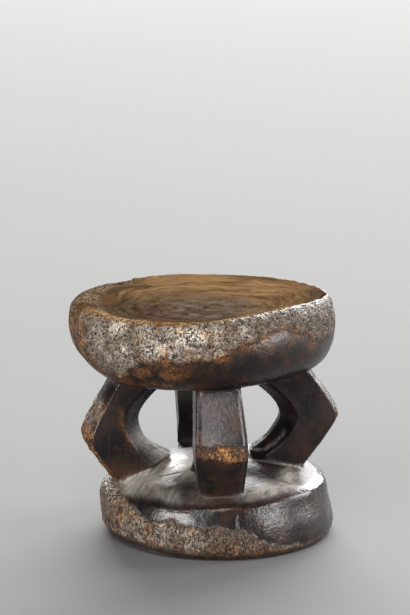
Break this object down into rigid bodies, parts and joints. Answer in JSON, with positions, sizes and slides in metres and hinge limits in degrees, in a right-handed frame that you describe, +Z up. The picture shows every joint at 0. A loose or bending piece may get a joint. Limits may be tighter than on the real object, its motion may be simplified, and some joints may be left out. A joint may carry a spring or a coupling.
{
  "type": "stool",
  "caption": "Low carved wooden stool: a thick, round, dished seat carried by bent legs on a broad round foot.",
  "frame": {"origin": "middle of the bounding box's underside, on the surface that the stool stands on", "axes": "+Z up; X and Y each run through two facing windows between the legs; the pictured side faces between -Y and +X"},
  "size_m": [0.3052, 0.3036, 0.2855],
  "materials": {
    "wood": "dark polished patina, worn rough and pale on the seat's side, the left of the foot and the knees"
  },
  "bodies": {
    "root": {"stool": "wood"}
  },
  "joints": []
}
